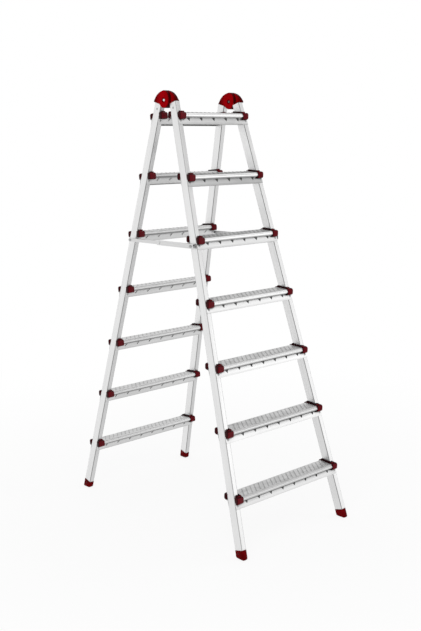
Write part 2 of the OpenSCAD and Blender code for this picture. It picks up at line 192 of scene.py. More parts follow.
# %% White surroundings
WHITE = (1, 1, 1, 1)
ROOM_LIGHT = 0.62
# The darker part of the room: its direction, the cosines at its edge and its middle, and its tone
DARK_CORNER = Vector((0.67, -0.63, 0.40)).normalized()
DARK_CORNER_EDGE = 0.972
DARK_CORNER_MIDDLE = 0.994
DARK_CORNER_TONE = 0.4


def feed(tree, socket, value):
    """Links another node's output to a socket, or writes a number or a colour into it."""
    if isinstance(value, bpy.types.NodeSocket):
        tree.links.new(value, socket)
    else:
        socket.default_value = value


def add_node(tree, kind, inputs=None, **settings):
    """A new node with its settings made and its inputs fed."""
    node = tree.nodes.new("ShaderNode" + kind)
    for setting, value in settings.items():
        setattr(node, setting, value)
    for socket, value in (inputs or {}).items():
        feed(tree, node.inputs[socket], value)
    return node


def rescaled(tree, value, start, end, low, high, easing="SMOOTHSTEP"):
    """A value that goes from low to high while another one goes from start to end."""
    limits = {"Value": value, "From Min": start, "From Max": end, "To Min": low, "To Max": high}
    return add_node(tree, "MapRange", limits, interpolation_type=easing).outputs[0]


def seen_directly(tree):
    """A value of 1 for rays from the eye, or by way of a reflection or through glass, and 0 for others."""
    ray = add_node(tree, "LightPath").outputs
    seen = ray["Is Camera Ray"]
    for kind in ("Is Glossy Ray", "Is Transmission Ray"):
        seen = add_node(tree, "Math", {0: seen, 1: ray[kind]}, operation="MAXIMUM").outputs[0]
    return seen


world = bpy.data.worlds.new("white_room")
bpy.context.scene.world = world
world.use_nodes = True
tree = world.node_tree
tree.nodes.clear()
way = add_node(tree, "TexCoord").outputs["Generated"]
towards = add_node(tree, "VectorMath", {0: way, 1: DARK_CORNER}, operation="DOT_PRODUCT").outputs["Value"]
brightness = rescaled(tree, towards, DARK_CORNER_EDGE, DARK_CORNER_MIDDLE, 1.0, DARK_CORNER_TONE)
shown = add_node(tree, "Background", {"Color": WHITE, "Strength": brightness})
lighting = add_node(tree, "Background", {"Color": WHITE, "Strength": ROOM_LIGHT})
chosen = add_node(tree, "MixShader", {0: seen_directly(tree), 1: lighting.outputs[0], 2: shown.outputs[0]})
add_node(tree, "OutputWorld", {0: chosen.outputs[0]})
print("surroundings: white when seen,", ROOM_LIGHT, "as light")

# %% Soft panels
LADDER_MIDDLE = Vector((0, 0, 0.9))
# Name, place, size in metres, power in watts, and whether the panel shows in reflections
PANELS = (
    ("front_left_panel", (-5.0, -4.0, 3.6), 5.0, 150.0, False),
    ("right_panel", (5.0, -3.0, 2.6), 5.0, 70.0, False),
    ("back_panel", (1.0, 6.0, 3.4), 5.0, 70.0, False),
    ("dim_front_panel", (4.4, -5.2, 1.3), 4.0, 24.0, True),
)
for name, place, size, power, in_reflections in PANELS:
    lamp = bpy.data.lights.new(name, "AREA")
    lamp.size = size
    lamp.energy = power
    panel = bpy.data.objects.new(name, lamp)
    panel.location = place
    panel.rotation_euler = (LADDER_MIDDLE - panel.location).to_track_quat("-Z", "Y").to_euler()
    panel.visible_glossy = in_reflections
    bpy.context.scene.collection.objects.link(panel)
print("panels:", [panel[0] for panel in PANELS])

# %% Pale floor
FLOOR_SIZE = 80
FLOOR_PAINT = (0.9, 0.9, 0.9, 1)
# Near the ladder the floor's paint, and so its shadow, shows a little through the white
SHADOW_NEAR, SHADOW_FAR = 0.4, 2.8
WHITE_NEAR, WHITE_FAR = 0.87, 1.0

bpy.ops.object.select_all(action="DESELECT")
bpy.ops.mesh.primitive_plane_add(size=FLOOR_SIZE, location=(0, 0, 0))
floor = bpy.context.active_object
floor.name = "studio_floor"
pale = bpy.data.materials.new("pale_floor")
pale.use_nodes = True
tree = pale.node_tree
tree.nodes.clear()
spot = add_node(tree, "TexCoord").outputs["Object"]
reach = add_node(tree, "VectorMath", {0: spot}, operation="LENGTH").outputs["Value"]
white_share = rescaled(tree, reach, SHADOW_NEAR, SHADOW_FAR, WHITE_NEAR, WHITE_FAR)
share = add_node(tree, "Math", {0: white_share, 1: seen_directly(tree)}, operation="MULTIPLY").outputs[0]
paint = add_node(tree, "BsdfDiffuse", {"Color": FLOOR_PAINT})
white = add_node(tree, "Emission", {"Strength": 1.0})
blend = add_node(tree, "MixShader", {0: share, 1: paint.outputs[0], 2: white.outputs[0]})
add_node(tree, "OutputMaterial", {0: blend.outputs[0]})
floor.data.materials.append(pale)
floor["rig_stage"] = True
print("floor:", floor.dimensions[0], "m across")

# %% [markdown]
# ## Drawn aluminium for the tubes
# A stile is drawn through a die, which leaves fine lines along it, and handling leaves duller patches. An
# image could show that, but noise that is stretched along the tube does it at any distance. Each tube runs
# its own way, so the pattern is turned to the tube before it is stretched. The rounded corners of the
# tubes are darker than their flats, and the faces that are turned to the inside of the ladder are darker
# than those outside: both are painted shade. The front right tube is darker low down.

# %% Noise, tones and bumps
NOISE_LOW, NOISE_HIGH = 0.3, 0.7


def noise_along(tree, along, stretch, fine, detail=4.0):
    """Noise drawn out along a direction: stretch counts its waves per metre along, and fine across."""
    across = along.orthogonal().normalized()
    turned = Matrix((along, across, along.cross(across))).to_euler("XYZ")
    spot = add_node(tree, "TexCoord").outputs["Object"]
    turn = add_node(tree, "Mapping", {"Vector": spot, "Rotation": turned}).outputs[0]
    pull = add_node(tree, "Mapping", {"Vector": turn, "Scale": (stretch, fine, fine)}).outputs[0]
    return add_node(tree, "TexNoise", {"Vector": pull, "Scale": 1.0, "Detail": detail}).outputs["Fac"]


def ramp(tree, value, stops):
    """Colours along a value: two stops of (place, grey or colour)."""
    colours = add_node(tree, "ValToRGB", {"Fac": value})
    for element, (at, colour) in zip(colours.color_ramp.elements, stops):
        element.position = at
        element.color = (*colour, 1) if isinstance(colour, tuple) else (colour, colour, colour, 1)
    return colours.outputs["Color"]


def spread(tree, noise, low, high):
    """Noise, which mostly lies between two middling values, spread over low to high."""
    return rescaled(tree, noise, NOISE_LOW, NOISE_HIGH, low, high, "LINEAR")


def times(tree, first, second):
    """Two colours multiplied: a Mix node has its colours at inputs 6 and 7 and at output 2."""
    factors = {"Factor": 1.0, 6: first, 7: second}
    return add_node(tree, "Mix", factors, data_type="RGBA", blend_type="MULTIPLY").outputs[2]


def raised(tree, shader, value, height, strength):
    """Lets a value stand out from the surface by a height in metres."""
    bump = add_node(tree, "Bump", {"Strength": strength, "Distance": height, "Height": value})
    tree.links.new(bump.outputs[0], shader.inputs["Normal"])


def fresh_finish(name):
    """A new material, with its nodes and its shader."""
    finish = bpy.data.materials.new(name)
    finish.use_nodes = True
    return finish, finish.node_tree, finish.node_tree.nodes["Principled BSDF"]


print("noise lies mostly between", NOISE_LOW, "and", NOISE_HIGH)

# %% A finish that runs along a tube
# Roughness at the darker and at the paler patches of a finish
CLEAR = (0.30, 0.42)
BRIGHT = (0.30, 0.44)
SATIN = (0.36, 0.48)
DULL = (0.40, 0.50)
MATT = (0.45, 0.55)
BLUNT = (0.55, 0.65)


def height_above_floor(tree):
    """How high a point is on the open ladder."""
    spot = add_node(tree, "TexCoord").outputs["Object"]
    return add_node(tree, "SeparateXYZ", {0: spot}).outputs["Z"]


def by_height(low, high, bottom=0.35, top=1.05):
    """A shade that goes smoothly from low, at a bottom height above the floor, to high at a top height."""
    return lambda tree: rescaled(tree, height_above_floor(tree), bottom, top, low, high)


def drawn_aluminium(name, along, dark, light, rough=CLEAR, shades=()):
    """Aluminium with fine lines along a direction, between a dark and a light grey, under some shades."""
    finish, tree, shader = fresh_finish(name)
    shader.inputs["Metallic"].default_value = 1.0
    lines = noise_along(tree, along, stretch=3.0, fine=420.0)
    patches = noise_along(tree, along, stretch=4.0, fine=14.0)
    tone = ramp(tree, lines, ((0.3, dark), (0.7, light)))
    tone = times(tree, tone, ramp(tree, patches, ((0.3, 0.94), (0.65, 1.0))))
    for shade in shades:
        tone = times(tree, tone, shade(tree))
    tree.links.new(tone, shader.inputs["Base Color"])
    tree.links.new(spread(tree, patches, *rough), shader.inputs["Roughness"])
    raised(tree, shader, lines, height=0.00002, strength=0.4)
    return finish


# The front right tube's flats are darker low down
darker_low_down = {"front_right": (by_height(0.92, 1.07, 0.6, 1.4),)}
stile_finishes = {}
for name in FRAMES:
    for side_name, side in SIDES:
        stile = f"{name}_{side_name}"
        along = stile_axes(name, side)[2]
        worn = darker_low_down.get(stile, ())
        # The corners and the inner faces get darker tones as painted shade
        stile_finishes[stile] = {
            "flat": drawn_aluminium(f"drawn_tube_{stile}", along, 0.78, 0.875, shades=worn),
            "corner": drawn_aluminium(f"drawn_corner_{stile}", along, 0.44, 0.52, DULL),
            "inner flat": drawn_aluminium(f"inner_tube_{stile}", along, 0.62, 0.71),
            "inner corner": drawn_aluminium(f"inner_corner_{stile}", along, 0.28, 0.36, DULL),
        }
        print(stile, "finishes:", [finish.name for finish in stile_finishes[stile].values()])

# %% Dress the stiles
TURNED = 0.2


def material_by_face(piece, finishes, place_of):
    """Gives a piece its finishes, and each face the one of the place that place_of(face) names."""
    mesh = piece.data
    mesh.materials.clear()
    for finish in finishes.values():
        mesh.materials.append(finish)
    order = list(finishes)
    places = [place_of(face) for face in mesh.polygons]
    mesh.polygons.foreach_set("material_index", [order.index(place) for place in places])
    mesh.update()
    return {place: places.count(place) for place in order}


def stile_place(name, side):
    """A function that says which part of a stile a face is on."""
    wide, deep, _ = stile_axes(name, side)
    to_inside = 1 if name == "front" else -1

    def place_of(face):
        on_corner = abs(face.normal.dot(wide)) > TURNED and abs(face.normal.dot(deep)) > TURNED
        turned_inside = face.normal.y * to_inside > TURNED
        to_middle = on_corner and face.normal.x * face.center.x < 0
        part = "corner" if on_corner else "flat"
        return f"inner {part}" if turned_inside or to_middle else part

    return place_of


for name in FRAMES:
    for side_name, side in SIDES:
        stile = nodes[f"{name}_{side_name}_stile"]
        finishes = stile_finishes[f"{name}_{side_name}"]
        print(stile.name, "faces:", material_by_face(stile, finishes, stile_place(name, side)))

# %% [markdown]
# ## Pressed treads
# A tread is one folded sheet. Its outer skirt keeps a bright mill finish, and the deck and the top of the
# outer nose are dull from use. The slanting ribs are darker than the deck. The folded inside, the inner
# skirt and nose, which face the other frame, and the undersides of the noses are darker as painted shade,
# and each skirt has a little painted shade just above its lower fold. On the lower treads the noses are
# darker and the painted shadow under them is deeper, both painted shade, and the skirts and decks change
# tone with height as painted light and shade. One finish for all would hide the ribs, so each face gets its
# finish by where it lies on the tread.

# %% Shades for corners and folds
MOST_SHUT_IN = 0.5
SKIRT_FROM = 0.019


def painted_corner_shade(reach, darkest, unshaded):
    """A painted shade that is dark where other surfaces stand close by, as shade falls in corners. Its
    darkest value, and the open share at which a surface is unshaded, are themselves shades by height."""

    def shade(tree):
        closed_in = add_node(tree, "AmbientOcclusion", {"Distance": reach}, samples=8).outputs["AO"]
        return rescaled(tree, closed_in, MOST_SHUT_IN, unshaded(tree), darkest(tree), 1.0, "LINEAR")

    return shade


def above_fold(fold, pitch, band, darkest):
    """A painted shade, darker in a narrow band above a fold, which comes again at each pitch further up."""

    def shade(tree):
        turns = {0: height_above_floor(tree), 1: fold + pitch, 2: fold}
        height = add_node(tree, "Math", turns, operation="WRAP").outputs[0]
        return rescaled(tree, height, fold, fold + band, darkest, 1.0, "LINEAR")

    return shade


def lower_fold(way):
    """Height above the floor of the lower fold of the lowest tread's outer (-1) or inner (1) skirt."""
    upright = Matrix.Rotation(TREAD_TURN, 4, "X") @ tread_matrix("front", TREADS[-1]).inverted()
    corners = nodes[f"front_step_{TREADS[-1]}"].data.vertices
    return min(corner.co.z for corner in corners if (upright @ corner.co).y * way > SKIRT_FROM)


first_height, second_height = [tread_matrix("front", k).translation.z for k in TREADS[:2]]
tread_rise = first_height - second_height
# Painted shade just above the lower fold of each skirt
outer_fold = above_fold(lower_fold(-1), tread_rise, band=0.009, darkest=0.80)
inner_fold = above_fold(lower_fold(1), tread_rise, band=0.007, darkest=0.85)
# Painted shade under the outer and the inner noses, deeper on the lower treads
painted_shade_under_nose = painted_corner_shade(
    reach=0.022, darkest=by_height(0.06, 0.75, 0.35, 2.0), unshaded=by_height(0.93, 0.82)
)
painted_shade_under_inner_nose = painted_corner_shade(reach=0.022, darkest=by_height(0.10, 0.2), unshaded=by_height(0.87, 0.84))
print("lowest skirts fold at", rounded((lower_fold(-1), lower_fold(1))), "m, rise", round(tread_rise, 4))

# %% Finishes for the sheet, the deck and its ribs
ALONG_TREAD = Vector((1, 0, 0))
SCUFFS_RUN = Vector((0.8, 0.6, 0))
# Painted shade: the decks of the upper treads are darker
deck_shade = by_height(1.0, 0.66, 0.95, 1.2)
# Painted light and shade on the outer skirts by height: darker low down and high up, paler again at the top
painted_light_on_skirts = (
    by_height(0.88, 1.0, 0.25, 0.45),
    by_height(1.0, 0.78, 1.15, 1.42),
    by_height(1.0, 1.28, 1.5, 1.62),
)


def dull_deck(name, dark, light):
    """Aluminium dulled by shoes, with small scuffs and stains, and painted shade on the upper treads."""
    finish, tree, shader = fresh_finish(name)
    shader.inputs["Metallic"].default_value = 1.0
    stains = noise_along(tree, ALONG_TREAD, stretch=18.0, fine=42.0)
    scuffs = noise_along(tree, SCUFFS_RUN, stretch=60.0, fine=900.0)
    tone = ramp(tree, stains, ((0.3, dark), (0.68, light)))
    tone = times(tree, tone, ramp(tree, scuffs, ((0.3, 0.9), (0.6, 1.0))))
    tone = times(tree, tone, deck_shade(tree))
    tree.links.new(tone, shader.inputs["Base Color"])
    tree.links.new(spread(tree, stains, low=0.52, high=0.40), shader.inputs["Roughness"])
    raised(tree, shader, scuffs, height=0.00006, strength=0.4)
    return finish


def pressed_sheet(name, dark, light, rough, *shades):
    """Aluminium sheet with lines along the treads."""
    return drawn_aluminium(name, ALONG_TREAD, dark, light, rough, shades)


# Painted shade: the folded inside, the inner skirt and nose, the noses' undersides and the low outer noses
tread_finishes = {
    "outer skirt": pressed_sheet("bright_skirt", 0.82, 0.91, BRIGHT, painted_shade_under_nose, *painted_light_on_skirts, outer_fold),
    "deck": dull_deck("worn_and_shaded_deck", 0.57, 0.67),
    "rib": dull_deck("darker_rib", 0.40, 0.48),
    "hollow": pressed_sheet("shaded_folded_inside", 0.36, 0.46, MATT, painted_shade_under_nose),
    "inner nose": pressed_sheet("inner_nose", 0.66, 0.78, SATIN),
    "outer nose": pressed_sheet("outer_nose", 0.87, 0.96, BRIGHT, by_height(0.66, 1.0)),
    "under outer nose": pressed_sheet("painted_shade_under_outer_nose", 0.50, 0.62, DULL, by_height(0.26, 0.9)),
    "inner skirt": pressed_sheet("inner_skirt", 0.67, 0.75, SATIN, painted_shade_under_inner_nose, inner_fold),
    "under inner nose": pressed_sheet("painted_shade_under_inner_nose", 0.26, 0.34, DULL),
}
print("tread finishes:", [finish.name for finish in tread_finishes.values()])

# %% Dress the treads
SLACK = 0.0001
DECK_TOP = 0.010
RIB_FROM = DECK_TOP + 0.0002
NOSE_MIDDLE = 0.028
SKIRT_INSIDE = 0.0202
HOLLOW_HALF = SKIRT_INSIDE + 0.0004
# How far a face has to be turned to count as part of the hollow, a skirt, or a nose's top or underside
HOLLOW_TURN = 0.3
SKIRT_TURN = 0.999
NOSE_TOP_TURN = 0.85
NOSE_UNDERSIDE_TURN = -0.35


def tread_place(tread_axes):
    """A function that says which part of a tread a face is on."""
    inward = tread_axes.inverted()
    upright = Matrix.Rotation(TREAD_TURN, 3, "X")

    def place_of(face):
        middle = inward @ face.center
        facing = inward.to_3x3() @ face.normal
        if abs(middle.y) < NOSE_MIDDLE + SLACK and middle.z > DECK_TOP - SLACK:
            return "rib" if middle.z > RIB_FROM else "deck"
        side = "inner" if middle.y > 0 else "outer"
        with_skirt = abs((upright @ facing).y)
        in_hollow = abs((upright @ middle).y) < HOLLOW_HALF
        if in_hollow and (facing.z < -HOLLOW_TURN or with_skirt > HOLLOW_TURN or middle.z < 0):
            return "hollow"
        if middle.z < -DECK_TOP - SLACK or with_skirt > SKIRT_TURN:
            return f"{side} skirt"
        if facing.z < NOSE_UNDERSIDE_TURN:
            return f"under {side} nose"
        return "deck" if side == "outer" and facing.z > NOSE_TOP_TURN else f"{side} nose"

    return place_of


for name in FRAMES:
    for k in TREADS:
        tread = nodes[f"{name}_step_{k}"]
        counts = material_by_face(tread, tread_finishes, tread_place(tread_matrix(name, k)))
    print(tread.name, "faces:", counts)

# %% [markdown]
# ## Struts and fasteners
# The strut links are drawn aluminium like the stiles and lie front to back. Rivets, bolts and pins are zinc
# plated steel: greyer than aluminium, with a fine mottle. The right hinge bolt and the nuts are dark, and
# on the right hinge bolt that is painted shade. The left hinge bolt and the struts' middle pins are pale,
# as a painted highlight, and the rivets in the feet are painted red like them. A single metal for all would
# hide these differences.

# %% Dress the struts and fasteners
UPRIGHT = Vector((0, 0, 1))
FRONT_TO_BACK = Vector((0, 1, 0))


def plated_steel(name, dark, light, metal=1.0):
    """Steel with a mottled plating or paint, between a dark and a light tone."""
    finish, tree, shader = fresh_finish(name)
    shader.inputs["Metallic"].default_value = metal
    shader.inputs["Specular IOR Level"].default_value = 0.1
    mottle = noise_along(tree, UPRIGHT, stretch=900.0, fine=900.0, detail=6.0)
    tree.links.new(ramp(tree, mottle, ((0.35, dark), (0.65, light))), shader.inputs["Base Color"])
    tree.links.new(spread(tree, mottle, low=0.26, high=0.40), shader.inputs["Roughness"])
    raised(tree, shader, mottle, height=0.00004, strength=0.3)
    return finish


link_finish = drawn_aluminium("drawn_link", FRONT_TO_BACK, 0.66, 0.76)
zinc_finish = plated_steel("zinc_plate", 0.36, 0.50)
# Painted shade on the right hinge bolt, and a painted highlight on the left hinge bolt and the middle pins
bolt_finish = plated_steel("dark_bolt_steel", 0.07, 0.12)
pin_finish = plated_steel("painted_highlight_steel", 0.66, 0.80)
painted_finish = plated_steel("red_painted_steel", (0.050, 0.001, 0.002), (0.075, 0.002, 0.003), 0.0)


def fastener_finish(name):
    """The finish of a strut link or a fastener, or None for any other node."""
    if name.endswith("_link"):
        return link_finish
    if name.endswith("foot_rivets"):
        return painted_finish
    if name in ("right_hinge_bolt", "hinge_nuts"):
        return bolt_finish
    if name == "left_hinge_bolt" or name.endswith("middle_pin"):
        return pin_finish
    if any(word in name for word in ("rivets", "bolts", "stud", "spacers")):
        return zinc_finish
    return None


def finish_all_over(piece, finish):
    """Gives every face of a piece the same finish."""
    material_by_face(piece, {"all over": finish}, lambda face: "all over")


dressed = {}
for name, node in nodes.items():
    finish = fastener_finish(name)
    if finish is not None:
        finish_all_over(node, finish)
        dressed[finish.name] = dressed.get(finish.name, 0) + 1
print("links and fastener nodes:", dressed)

# %% [markdown]
# ## Moulded plastic
# Hinges, tread ends and feet come from a mould: an even colour with a fine spark-eroded grain, a little
# paler in soft clouds where it is rubbed. Clear red would look like paint, so the clouds change both the
# tone and the gloss slightly, and the grain stands out from the surface. The rims of the hinges are dark,
# their shoulders a little darker than their ears, and their flat faces darken towards their corners: all
# painted shade. The fronts of the caps on the treads are paler as painted light, their sides darker as
# painted shade, and the strips between them are darker.

# %% Moulded colours
def darker_away(near, far, least):
    """A painted shade, white near the hinge axis, that falls to the least value at a distance from it."""

    def shade(tree):
        spot = add_node(tree, "TexCoord").outputs["Object"]
        from_axis = {"Vector": spot, "Location": (0, -hinge_axis.y, -hinge_axis.z), "Scale": (0, 1, 1)}
        centred = add_node(tree, "Mapping", from_axis).outputs[0]
        away = add_node(tree, "VectorMath", {0: centred}, operation="LENGTH").outputs["Value"]
        return rescaled(tree, away, near, far, 1.0, least)

    return shade


def moulded_plastic(name, deep, lit, rough, gloss, shades=()):
    """Plastic between a deep and a lit colour, with the mould's grain, under some shades."""
    finish, tree, shader = fresh_finish(name)
    shader.inputs["Specular IOR Level"].default_value = gloss
    cloud = noise_along(tree, UPRIGHT, stretch=30.0, fine=30.0)
    grain = noise_along(tree, UPRIGHT, stretch=1600.0, fine=1600.0, detail=2.0)
    tone = ramp(tree, cloud, ((0.3, deep), (0.7, lit)))
    for shade in shades:
        tone = times(tree, tone, shade(tree))
    tree.links.new(tone, shader.inputs["Base Color"])
    tree.links.new(spread(tree, cloud, *rough), shader.inputs["Roughness"])
    raised(tree, shader, grain, height=0.00003, strength=0.35)
    return finish


# Painted shade: dark rims, shoulders a little darker than ears, flat faces darker away from the axis
to_the_corners = (darker_away(near=0.028, far=0.064, least=0.3),)
hinge_finishes = {
    "rim": moulded_plastic(
        "hinge_rim_red", (0.045, 0.001, 0.001), (0.075, 0.001, 0.002), (0.46, 0.56), gloss=0.03
    ),
    "shoulder": moulded_plastic(
        "hinge_shoulder_red", (0.28, 0.0005, 0.002), (0.36, 0.001, 0.004), (0.42, 0.52),
        gloss=0.005, shades=to_the_corners,
    ),
    "ear": moulded_plastic(
        "hinge_ear_red", (0.29, 0.0005, 0.002), (0.38, 0.001, 0.004), (0.40, 0.50),
        gloss=0.005, shades=to_the_corners,
    ),
}
# Painted light on the caps' fronts and painted shade on their sides
end_finishes = {
    "cap front": moulded_plastic(
        "end_maroon", (0.086, 0.004, 0.007), (0.134, 0.007, 0.012), (0.42, 0.52), gloss=0.05
    ),
    "strip": moulded_plastic(
        "strip_maroon", (0.010, 0.001, 0.002), (0.018, 0.002, 0.003), (0.46, 0.56), gloss=0.04
    ),
    "cap side": moulded_plastic(
        "end_side_maroon", (0.024, 0.0015, 0.0025), (0.040, 0.0025, 0.004), (0.42, 0.52), gloss=0.05
    ),
}
foot_red = moulded_plastic(
    "foot_red", (0.080, 0.0008, 0.0015), (0.160, 0.0015, 0.003), (0.50, 0.62), gloss=0.02
)
mouldings = [*hinge_finishes.values(), *end_finishes.values(), foot_red]
print("mouldings:", [finish.name for finish in mouldings])

# %% [markdown]
# ## Hinges
# No moulding leaves its mould with a knife edge. The hinge caps' shapes are right as built, so each is
# copied, its loose triangles are joined into whole faces, and every sharp edge is rounded. Modelling them
# again from a cylinder would give the same outline with more work.

# %% Copy the hinge caps
WELD = 0.00001
FLAT_DEGREES = 0.3


def select_only(*pieces):
    """Selects these pieces and nothing else, and makes the first of them active."""
    bpy.ops.object.select_all(action="DESELECT")
    for piece in pieces:
        piece.select_set(True)
    bpy.context.view_layer.objects.active = pieces[0]


def duplicate(original, piece_name):
    """A copy of a piece with a mesh and a name of its own."""
    select_only(original)
    bpy.ops.object.duplicate()
    piece = bpy.context.active_object
    piece.name = piece_name
    piece.data.name = piece_name
    return piece


def solid_copy(node_name, piece_name):
    """A copy of a node with whole faces, as a piece of its own."""
    piece = duplicate(nodes[node_name], piece_name)
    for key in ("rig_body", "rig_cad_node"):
        del piece[key]
    bpy.ops.object.parent_clear(type="CLEAR_KEEP_TRANSFORM")
    bpy.ops.object.mode_set(mode="EDIT")
    bpy.ops.mesh.select_all(action="SELECT")
    bpy.ops.mesh.remove_doubles(threshold=WELD)
    bpy.ops.mesh.dissolve_limited(angle_limit=math.radians(FLAT_DEGREES))
    bpy.ops.mesh.customdata_custom_splitnormals_clear()
    bpy.ops.object.mode_set(mode="OBJECT")
    return piece


hinges = {}
for name in FRAMES:
    for side_name, side in SIDES:
        hinge = f"{name}_{side_name}_hinge"
        hinges[hinge] = solid_copy(f"{hinge}_cap", f"{hinge}_moulding")
        print(hinges[hinge].name, "has", len(hinges[hinge].data.polygons), "whole faces")

# %% Round the hinges and give them their reds
HINGE_HALF = 0.014
EAR_FROM = HINGE_HALF - 0.0005
FACING_SIDE = 0.9


def soften_sharp_edges(piece, width, rounds, sharp):
    """Rounds every edge that is sharper than an angle in degrees, and shades the piece smooth."""
    select_only(piece)
    soften = piece.modifiers.new("soft edges", "BEVEL")
    soften.width = width
    soften.segments = rounds
    soften.limit_method = "ANGLE"
    soften.angle_limit = math.radians(sharp)
    bpy.ops.object.modifier_apply(modifier=soften.name)
    bpy.ops.object.shade_smooth_by_angle(angle=math.radians(sharp))


def hinge_place(middle_x):
    """A function that says whether a face is on a hinge's rim, its shoulder or its raised ear."""

    def place_of(face):
        if abs(face.normal.x) < FACING_SIDE:
            return "rim"
        return "ear" if abs(face.center.x - middle_x) > EAR_FROM else "shoulder"

    return place_of


def stands_for(piece, node_name, body):
    """Lets a piece stand for a node, which is hidden, and move with its body."""
    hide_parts(node_name)
    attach(piece, body)


for name in FRAMES:
    for side_name, side in SIDES:
        hinge = hinges[f"{name}_{side_name}_hinge"]
        soften_sharp_edges(hinge, width=0.0011, rounds=3, sharp=32)
        low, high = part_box(f"{side_name}_hinge_bolt")
        counts = material_by_face(hinge, hinge_finishes, hinge_place((low[0] + high[0]) / 2))
        stands_for(hinge, f"{name}_{side_name}_hinge_cap", f"{name}_frame")
        print(hinge.name, "faces:", counts)

# %% [markdown]
# ## Feet
# A foot is a thick moulded shoe round the end of the stile, worn round where it meets the floor. It starts
# as a block along the stile, gets its upright corners rounded, is bisected level with the floor and rounded
# along the sole. The stile's own shape is then taken out of it. One is made at the front right and copied:
# mirrored to the left, and turned half round for the rear. The foot's own solid could be rounded as the
# hinges are, but a plain block takes the wide rounding of the sole more readily.

# %% One foot
STILE_TOP_X = 0.1655
LAST_TREAD_TO_FLOOR = 0.229
FLOOR_REACH = tread_drop(TREADS[-1]) + LAST_TREAD_TO_FLOOR
FOOT_HEIGHT = 0.033
FOOT_HALF_WIDTH, FOOT_HALF_DEPTH = 0.0135, 0.0225
FOOT_CORNER = 0.009
SOLE_ROUND = 0.0065
BELOW_FLOOR = 0.08
UPRIGHT_EDGE = 0.01


def stile_matrix(name):
    """From the own axes of a frame's right stile to the open ladder."""
    stile_top = frame_matrix(name) @ Matrix.Translation((STILE_TOP_X, -STILE_OFFSET, 0))
    return stile_top @ Matrix.Rotation(-FLARE, 4, "Y")


def block(name, low, high):
    """A cube between two corners, with its place in its mesh."""
    bpy.ops.object.select_all(action="DESELECT")
    low, high = Vector(low), Vector(high)
    bpy.ops.mesh.primitive_cube_add(size=1, location=(low + high) / 2, scale=high - low)
    piece = bpy.context.active_object
    piece.name = name
    bpy.ops.object.transform_apply(location=True, rotation=True, scale=True)
    return piece


def pick_edges(piece, wanted):
    """In edit mode, selects just the edges for which wanted(edge) says yes, and counts them."""
    bpy.ops.object.mode_set(mode="EDIT")
    bpy.ops.mesh.select_mode(type="EDGE")
    bpy.ops.mesh.select_all(action="DESELECT")
    shape = bmesh.from_edit_mesh(piece.data)
    chosen = [edge for edge in shape.edges if wanted(edge)]
    for edge in chosen:
        edge.select_set(True)
    bmesh.update_edit_mesh(piece.data)
    return len(chosen)


def round_uprights(piece, radius, rounds):
    """Rounds the four edges that run along a block's own Z."""
    pick_edges(piece, lambda edge: abs(edge.verts[0].co.z - edge.verts[1].co.z) > UPRIGHT_EDGE)
    bpy.ops.mesh.bevel(offset=radius, segments=rounds, affect="EDGES")


foot_top = -(FLOOR_REACH - FOOT_HEIGHT) / math.cos(FLARE)
foot_low = (-FOOT_HALF_WIDTH, -FOOT_HALF_DEPTH, foot_top - BELOW_FLOOR)
foot = block("foot", foot_low, (FOOT_HALF_WIDTH, FOOT_HALF_DEPTH, foot_top))
round_uprights(foot, FOOT_CORNER, rounds=6)
on_floor = stile_matrix("front")
floor_point = on_floor.inverted() @ Vector((0, 0, 0))
floor_normal = on_floor.inverted().to_3x3() @ UPRIGHT
bpy.ops.mesh.select_all(action="SELECT")
bpy.ops.mesh.bisect(plane_co=floor_point, plane_no=floor_normal, use_fill=True, clear_inner=True)
sole = pick_edges(foot, lambda edge: all(abs((on_floor @ corner.co).z) < SLACK for corner in edge.verts))
bpy.ops.mesh.bevel(offset=SOLE_ROUND, segments=5, affect="EDGES", clamp_overlap=True)
bpy.ops.object.mode_set(mode="OBJECT")
print("foot with", sole, "edges round its sole and", len(foot.data.polygons), "faces")

# %% Fit the stile
SOLE_HEIGHT = 0.012
ABOVE_FOOT = 0.05
# Half the width and depth of the room that a stile needs, and its corners, with a little clearance
ROOM_X, ROOM_Y = 0.0111, 0.0201
ROOM_CORNER = 0.0031


def stile_room(low, high):
    """The room that a stile needs between two places along it."""
    return block("stile_room", (-ROOM_X, -ROOM_Y, low), (ROOM_X, ROOM_Y, high))


def carve(piece, other, operation):
    """Adds another solid to a piece, or takes it away, and removes the other."""
    select_only(piece)
    cut = piece.modifiers.new("carve", "BOOLEAN")
    cut.operation = operation
    cut.solver = "EXACT"
    cut.object = other
    bpy.ops.object.modifier_apply(modifier=cut.name)
    bpy.data.objects.remove(other)


stile_end = -(FLOOR_REACH - SOLE_HEIGHT) / math.cos(FLARE) - SLACK
in_foot = stile_room(stile_end, foot_top + ABOVE_FOOT)
round_uprights(in_foot, ROOM_CORNER, rounds=3)
bpy.ops.object.mode_set(mode="OBJECT")
carve(foot, in_foot, "DIFFERENCE")
soften_sharp_edges(foot, width=0.0008, rounds=2, sharp=40)
finish_all_over(foot, foot_red)
print("foot with its socket:", len(foot.data.polygons), "faces")

# %% Copy the foot
MIRRORED = Matrix.Scale(-1, 4, (1, 0, 0))


def copy_to(original, place, piece_name):
    """A copy of a piece with its own mesh, set in place and facing outwards."""
    piece = duplicate(original, piece_name)
    piece.matrix_world = place
    bpy.ops.object.transform_apply(location=True, rotation=True, scale=True)
    bpy.ops.object.mode_set(mode="EDIT")
    bpy.ops.mesh.select_all(action="SELECT")
    bpy.ops.mesh.normals_make_consistent(inside=False)
    bpy.ops.object.mode_set(mode="OBJECT")
    return piece


